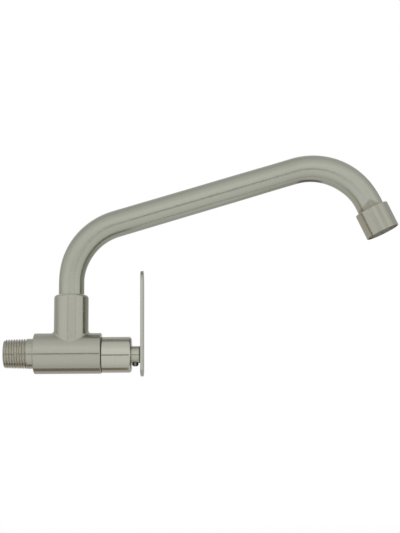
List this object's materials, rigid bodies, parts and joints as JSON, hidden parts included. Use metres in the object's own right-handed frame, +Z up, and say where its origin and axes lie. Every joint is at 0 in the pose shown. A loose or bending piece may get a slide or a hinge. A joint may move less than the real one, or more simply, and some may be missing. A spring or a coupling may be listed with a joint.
{
  "type": "wall-mounted faucet",
  "caption": "Single cold water wall tap with a threaded inlet, a flat plate lever and a long swivelling tubular spout with an aerator.",
  "frame": {"origin": "centre of the barrel's wall-side end, on the inlet's axis", "axes": "+X out of the wall along the inlet's axis and towards the spout's reach, +Z up along the swivel's axis, +Y to the right of a user who stands in front of the tap and faces the wall"},
  "size_m": [0.2778, 0.0284, 0.157],
  "materials": {
    "cast_stainless": "brushed",
    "turned_stainless": "brushed",
    "plate_stainless": "brushed",
    "tube_stainless": "brushed",
    "screw_steel": "black oxide",
    "spring_steel": "satin",
    "mesh_steel": "satin",
    "brass": "turned",
    "ceramic": "lapped",
    "fibre": "matt",
    "black_rubber": "matt",
    "slip_plastic": "matt",
    "moulded_plastic": "moulded"
  },
  "bodies": {
    "root": {"body": "cast_stainless", "headwork_housing": "brass", "headwork_gasket": "fibre", "seat_seal": "black_rubber", "fixed_disc": "ceramic", "spindle_thrust_washer": "slip_plastic", "bonnet": "turned_stainless", "bonnet_seal": "black_rubber", "spout_snap_ring": "spring_steel", "spout_base_washer": "slip_plastic"},
    "handle": {"handle_hub": "turned_stainless", "hub_ring": "black_rubber", "handle_plate": "plate_stainless", "handle_screw": "screw_steel", "spindle": "brass", "spindle_circlip": "screw_steel", "spindle_o_ring_inner": "black_rubber", "spindle_o_ring_outer": "black_rubber", "moving_disc": "ceramic"},
    "spout": {"spout_tube": "tube_stainless", "spout_tail": "turned_stainless", "spout_o_ring_lower": "black_rubber", "spout_o_ring_upper": "black_rubber", "nozzle_ferrule": "turned_stainless", "aerator_housing": "turned_stainless", "aerator_washer": "black_rubber", "aerator_insert": "moulded_plastic", "aerator_diffuser": "moulded_plastic", "aerator_inlet_screen": "mesh_steel", "aerator_outlet_screen": "mesh_steel"}
  },
  "joints": [
    {"name": "handle_turn", "type": "hinge", "parent": "root", "child": "handle", "pos_m": [0.0745, 0, -0.0011], "axis": [1, 0, 0], "range_deg": [0, 90]},
    {"name": "spout_swivel", "type": "hinge", "parent": "root", "child": "spout", "pos_m": [0.0255, 0, 0.0402], "axis": [0, 0, 1], "range_deg": [-90, 90]}
  ]
}
